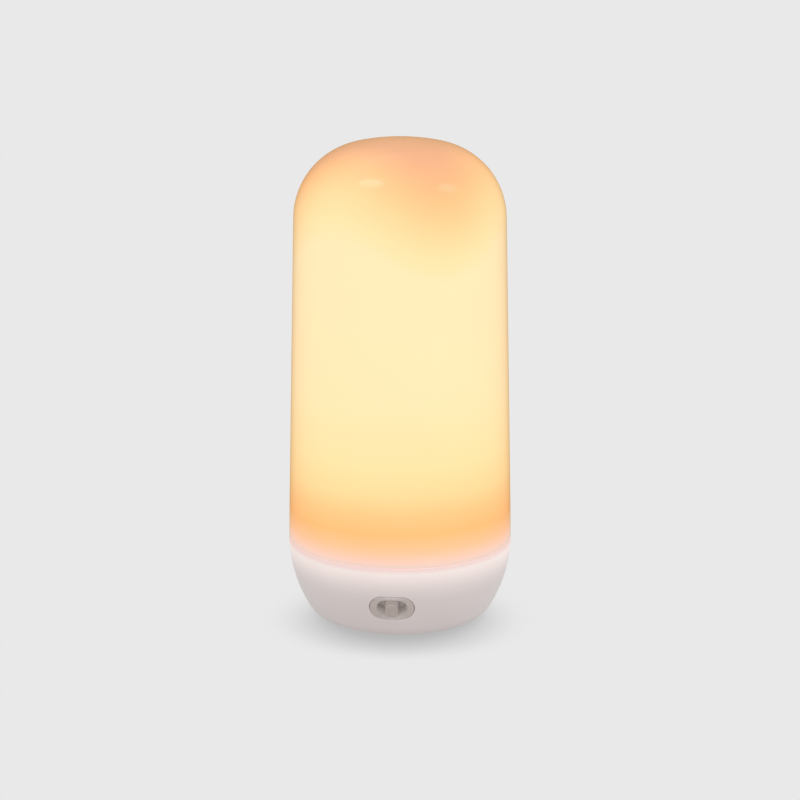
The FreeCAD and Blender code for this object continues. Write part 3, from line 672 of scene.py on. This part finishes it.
class LIGHT_OT_diffuser(bpy.types.Operator):
    """Turns the opal diffuser's section about the axis, with its spigot and snap lugs"""
    bl_idname = "bulb_light.diffuser"
    bl_label = "Diffuser"

    def execute(self, context):
        # The shoulder's arc touches the crown's arc, and the wall is the line from the joint that touches
        # the shoulder's arc. The inside is the same section, set in by the wall.
        shape = context.scene.bulb_diffuser
        top = dome_high.z
        seam = shape.seam_height
        shoulder_x = shape.shoulder_radius - shape.shoulder_arc
        crown_z = top - shape.crown_arc
        shoulder_z = crown_z + math.sqrt((shape.crown_arc - shape.shoulder_arc) ** 2 - shoulder_x ** 2)
        across, down = shape.body_radius - shoulder_x, seam - shoulder_z
        lean = math.atan2(down, across) + math.acos(shape.shoulder_arc / math.hypot(across, down))
        lean, slope = math.degrees(lean), math.tan(lean)
        change = math.degrees(math.atan2(shoulder_z - crown_z, shoulder_x))
        shoulder, crown = (shoulder_x, shoulder_z), (0.0, crown_z)
        edge = (shape.body_radius - slope * shape.edge_round - shape.edge_round, seam + shape.edge_round)
        knuckle = bend(shoulder, shape.shoulder_arc, lean, lean, 1)[0]
        thin = shape.shoulder_arc - shape.wall
        inner_knuckle = bend(shoulder, thin, lean, lean, 1)[0]
        spigot_r, spigot_z = shape.spigot_radius, seam - shape.spigot_depth
        inner_r = spigot_r - shape.spigot_wall
        collar_z = seam + shape.collar
        inside_z = collar_z + shape.spigot_wall
        inside_r = shape.body_radius - shape.wall / math.cos(math.radians(lean)) - slope * (inside_z - seam)
        lug_top = seam - shape.lug_drop
        lug_low = lug_top - shape.lug_height
        soft = shape.lug_blend
        section = np.vstack([
            bend(crown, shape.crown_arc, 90, change, 16),
            bend(shoulder, shape.shoulder_arc, change, lean, 28)[1:],
            run(tuple(knuckle), (edge[0] + shape.edge_round, edge[1]), steps=24)[1:],
            bend(edge, shape.edge_round, 0, -90, 6)[1:],
            run((spigot_r, seam), (spigot_r, lug_top), (spigot_r, lug_top - soft), (spigot_r, lug_low + soft),
                (spigot_r, lug_low), (spigot_r, spigot_z), (inner_r, spigot_z), (inner_r, collar_z),
                (inside_r, inside_z)),
            run((inside_r, inside_z), tuple(inner_knuckle), steps=12)[1:],
            bend(shoulder, thin, lean, change, 20)[1:],
            bend(crown, shape.crown_arc - shape.wall, change, 90, 12)[1:],
        ])
        points = revolve(section, shape.columns)
        height = points[..., 2]
        on_lug = (np.abs(height - (lug_top + lug_low) / 2) < shape.lug_height / 2 - soft / 2)
        on_lug &= np.abs(np.hypot(points[..., 0], points[..., 1]) - spigot_r) < soft
        angle = np.arctan2(points[..., 1], points[..., 0])
        off_middle = np.abs((angle % (np.pi / 2)) - np.pi / 4)
        proud = np.where(on_lug & (off_middle < shape.lug_angle / 2), shape.lug_proud, 0.0)
        points[..., :2] *= (1 + proud / spigot_r)[..., None]
        faces = grid_faces(len(section), shape.columns)
        material = opal_polycarbonate(shape, context.scene.bulb_glow)
        make_piece("opal_dome", points, faces, material, "light", "diffuser")
        return {"FINISHED"}


class LIGHT_OT_base(bpy.types.Operator):
    """Gives the base shell its satin white ABS"""
    bl_idname = "bulb_light.base"
    bl_label = "Base shell"

    def execute(self, context):
        dress(satin_abs(context.scene.bulb_shell), "base_shell")
        return {"FINISHED"}


class LIGHT_OT_foot(bpy.types.Operator):
    """Turns the rubber foot ring with rounded edges and two grip grooves"""
    bl_idname = "bulb_light.foot"
    bl_label = "Foot ring"

    def execute(self, context):
        shape = context.scene.bulb_foot
        outer = foot_high.x
        inner = outer - shape.width
        edge, top, groove = shape.edge_round, foot_high.z, shape.groove
        columns = 144
        section = [bend((outer - edge, edge), edge, 0, -90, 5)]
        for share in (2 / 3, 1 / 3):
            middle = inner + share * shape.width
            section.append(bend((middle, 0.0), groove, 0, 180, 8))
        section += [bend((inner + edge, edge), edge, -90, -180, 5), run((inner, top), (outer, top))]
        section = np.vstack(section)
        rubber = moulded("silicone_rubber_grey", ("8F8D8B", "9A9896"), 6.0, 0.25, 0.01, 0.72, 0.85, IOR=1.43)
        faces = grid_faces(len(section), columns, True)
        make_piece("grip_ring", revolve(section, columns), faces, rubber, "light", "foot_ring")
        return {"FINISHED"}


class LIGHT_OT_insert(bpy.types.Operator):
    """Lofts the switch's insert between its slot and its oval outline, flush with the curve of the base"""
    bl_idname = "bulb_light.insert"
    bl_label = "Switch insert"

    def execute(self, context):
        shape = context.scene.bulb_insert
        body = context.scene.bulb_diffuser
        slot_r, oval_r = shape.slot_height / 2, shape.height / 2
        slot_half, oval_half = shape.slot_width / 2 - slot_r, shape.width / 2 - oval_r
        soft, crisp, bevel = shape.slot_round, shape.edge_round, shape.flange_bevel
        flange_r, seat = oval_r + shape.flange, shape.depth + shape.flange_thickness
        quarter = np.radians(np.linspace(0, 90, 7))
        # Each row: half length of the straight part, radius of the ends, one where the depth counts from
        # the base's curve, and the depth
        rows = [(slot_half, slot_r, 0, seat)]
        rows += [(slot_half, slot_r + soft * (1 - math.cos(a)), 1, soft * (1 - math.sin(a))) for a in quarter]
        rows += [((slot_half + oval_half) / 2, (slot_r + oval_r) / 2, 1, 0.0)]
        rows += [(oval_half, oval_r - crisp * (1 - math.sin(a)), 1, crisp * (1 - math.cos(a)))
                 for a in quarter]
        rows += [(oval_half, oval_r, 0, shape.depth), (oval_half, flange_r - bevel, 0, shape.depth),
                 (oval_half, flange_r, 0, shape.depth + bevel), (oval_half, flange_r, 0, seat - bevel),
                 (oval_half, flange_r - bevel, 0, seat)]
        half, radius, follows, depth = np.array(rows).T[:, :, None]
        per_end = 25
        end = np.radians(np.concatenate([np.linspace(-90, 90, per_end), np.linspace(90, 270, per_end)]))
        side = np.repeat([1.0, -1.0], per_end)
        points = np.empty((len(rows), len(end), 3))
        points[..., 0] = side * half + radius * np.cos(end)
        points[..., 2] = radius * np.sin(end)
        middle, lean, place = switch_place(shape, body)
        turn = np.array(Matrix.Rotation(lean, 3, "X"))
        # The depth of the base's curve under each point, found by stepping onto it twelve times
        curve = np.zeros(points.shape[:2])
        arc = shape.side_arc - shape.inset
        for _ in range(12):
            points[..., 1] = curve
            world = points @ turn.T + np.array(place)
            wall = middle + np.sqrt(arc ** 2 - (body.seam_height - world[..., 2]) ** 2)
            curve += np.hypot(world[..., 0], world[..., 1]) - wall
        points[..., 1] = follows * curve + depth
        points = points @ turn.T + np.array(place)
        # Grey face of the insert, with white walls in its slot as painted light
        grey = grey_face_painted_light_walls("grey_insert_painted_light_walls", ("C4B7B0", "CBBEB8"), ("EDE6E3", "F2EBE8"), shape, body,
                           0.42, 0.5)
        faces = grid_faces(len(rows), len(end), True)
        make_piece("oval_insert", points, faces, grey, "light", "switch_bezel")
        return {"FINISHED"}


class LIGHT_OT_switch(bpy.types.Operator):
    """Dresses the slide switch: knob, lever, folded steel case and brass pins"""
    bl_idname = "bulb_light.switch"
    bl_label = "Slide switch"

    def execute(self, context):
        scene = context.scene
        # Grey face of the knob, with white walls as painted light
        grey = grey_face_painted_light_walls("grey_knob_painted_light_walls", ("B9ACA5", "C0B3AC"), ("EDE6E3", "F2EBE8"), scene.bulb_insert,
                           scene.bulb_diffuser, 0.38, 0.46)
        dress(grey, "switch_knob")
        acetal = moulded("black_acetal", ("1B1B1D", "232325"), 3.0, 0.15, 0.002, 0.35, 0.45, IOR=1.48)
        dress(acetal, "switch_lever")
        dress(metal("folded_steel", ("B4B6B8", "C2C4C6"), 1.5, 0.4, 0.003, 0.30, 0.42), "switch_case")
        dress(metal("turned_brass", ("C7A866", "D6BA7C"), 1.0, 0.15, 0.002, 0.22, 0.32), "switch_pins")
        return {"FINISHED"}


class LIGHT_OT_socket(bpy.types.Operator):
    """Dresses the charging socket: drawn steel shell and black tongue with gilded contacts"""
    bl_idname = "bulb_light.socket"
    bl_label = "Charging socket"

    def execute(self, context):
        dress(metal("drawn_steel", ("BFC1C3", "CDCFD1"), 2.0, 0.3, 0.002, 0.24, 0.34), "usb_shell")
        dress(gilded_tongue(context.scene.bulb_inner), "usb_tongue")
        return {"FINISHED"}


class LIGHT_OT_core(bpy.types.Operator):
    """Dresses the deck, the core and its cap in matt white ABS"""
    bl_idname = "bulb_light.core"
    bl_label = "Deck and core"

    def execute(self, context):
        white = moulded("matt_white_abs", ("E6E6E2", "EEEEEA"), 12.0, 0.3, 0.006, 0.55, 0.65, IOR=1.53)
        dress(white, "inner_deck", "light_core", "core_cap")
        return {"FINISHED"}


class LIGHT_OT_screws(bpy.types.Operator):
    """Dresses all screws in zinc-plated steel"""
    bl_idname = "bulb_light.screws"
    bl_label = "Screws"

    def execute(self, context):
        zinc = metal("zinc_plated_steel", ("B0B3B8", "C6C8CB"), 0.8, 0.2, 0.004, 0.26, 0.40)
        dress(zinc, "deck_screws", "core_screws", "board_screws")
        return {"FINISHED"}


class LIGHT_OT_lights(bpy.types.Operator):
    """Dresses the wrapped light board and its light sources"""
    bl_idname = "bulb_light.lights"
    bl_label = "Light board"

    def execute(self, context):
        dress(light_board(context.scene.bulb_inner), "led_board")
        dress(phosphor_resin(), "leds")
        return {"FINISHED"}


class LIGHT_OT_battery(bpy.types.Operator):
    """Dresses the cell, its shrink sleeve, welded tabs, foam pad and leads"""
    bl_idname = "bulb_light.battery"
    bl_label = "Battery"

    def execute(self, context):
        dress(metal("drawn_can", ("A9ABAE", "B7B9BC"), 5.0, 0.5, 0.003, 0.32, 0.42), "battery_cell")
        sleeve = moulded("shrunk_pvc_blue", ("20608F", "2A6C9C"), 14.0, 2.5, 0.02, 0.18, 0.28, IOR=1.53)
        dress(sleeve, "battery_sleeve")
        dress(metal("nickel_strip", ("B9B3A6", "C9C4B9"), 1.6, 0.6, 0.01, 0.25, 0.38), "battery_tabs")
        dress(moulded("closed_cell_foam", ("26262A", "323236"), 2.0, 0.6, 0.06, 0.88, 0.96), "battery_pad")
        dress(two_leads(), "battery_leads")
        return {"FINISHED"}


class LIGHT_OT_board(bpy.types.Operator):
    """Dresses the main board and what stands on it"""
    bl_idname = "bulb_light.board"
    bl_label = "Main board"

    def execute(self, context):
        inner = context.scene.bulb_inner
        dress(glass_epoxy(inner), "main_board")
        epoxy = moulded("moulded_epoxy_black", ("1D1D1F", "262628"), 1.5, 0.08, 0.002, 0.55, 0.68, IOR=1.55)
        dress(epoxy, "control_chip", "charge_chip")
        ferrite = moulded("sintered_ferrite", ("333437", "424347"), 0.8, 0.1, 0.006, 0.70, 0.85)
        dress(ferrite, "power_coil")
        dress(tinned_ceramic(inner), "board_capacitors")
        nylon = moulded("natural_nylon", ("DDD9CB", "E6E2D5"), 3.0, 0.2, 0.003, 0.45, 0.55, IOR=1.53)
        dress(nylon, "battery_connector", "led_connector")
        return {"FINISHED"}


class LIGHT_OT_stage(bpy.types.Operator):
    """Sets the pale floor, the even sky, the dim curtain, two soft lamps, two fills and the camera"""
    bl_idname = "bulb_light.stage"
    bl_label = "Stage"

    def execute(self, context):
        scene = context.scene
        stage = scene.bulb_stage
        even_sky(stage)
        paper_floor(stage)
        dim_curtain(stage)
        soft_lamps()
        photo_camera(stage)
        scene.view_settings.view_transform = "Standard"
        return {"FINISHED"}


class LIGHT_PT_panel(bpy.types.Panel):
    """Lists the operators and the settings that they read"""
    bl_idname = "LIGHT_PT_panel"
    bl_label = "Bulb light"
    bl_space_type = "VIEW_3D"
    bl_region_type = "UI"
    bl_category = "Bulb light"

    def draw(self, context):
        for operator in OPERATORS:
            self.layout.operator(operator.bl_idname)
        for group, kind in GROUPS.items():
            box = self.layout.box()
            box.label(text=kind.__doc__)
            for name in kind.__annotations__:
                box.prop(getattr(context.scene, group), name)


GROUPS = {
    "bulb_diffuser": DiffuserShape,
    "bulb_glow": Glow,
    "bulb_shell": ShellSeepGlow,
    "bulb_foot": FootShape,
    "bulb_insert": InsertShape,
    "bulb_inner": InnerSizes,
    "bulb_stage": StageSettings,
}
OPERATORS = (
    LIGHT_OT_diffuser, LIGHT_OT_base, LIGHT_OT_foot, LIGHT_OT_insert, LIGHT_OT_switch, LIGHT_OT_socket,
    LIGHT_OT_core, LIGHT_OT_screws, LIGHT_OT_lights, LIGHT_OT_battery, LIGHT_OT_board, LIGHT_OT_stage,
)


def register():
    """Registers the settings, hangs them on the scene, and registers the operators and the panel."""
    for group, kind in GROUPS.items():
        bpy.utils.register_class(kind)
        setattr(bpy.types.Scene, group, PointerProperty(type=kind))
    for kind in OPERATORS + (LIGHT_PT_panel,):
        bpy.utils.register_class(kind)


def unregister():
    """Takes all of that off again, last first."""
    for kind in reversed(OPERATORS + (LIGHT_PT_panel,)):
        bpy.utils.unregister_class(kind)
    for group, kind in reversed(list(GROUPS.items())):
        delattr(bpy.types.Scene, group)
        bpy.utils.unregister_class(kind)


def main():
    """Registers the settings and the operators, and builds the looks in order."""
    register()
    for operator in OPERATORS:
        family, name = operator.bl_idname.split(".")
        getattr(getattr(bpy.ops, family), name)()


if __name__ == "__main__":
    main()
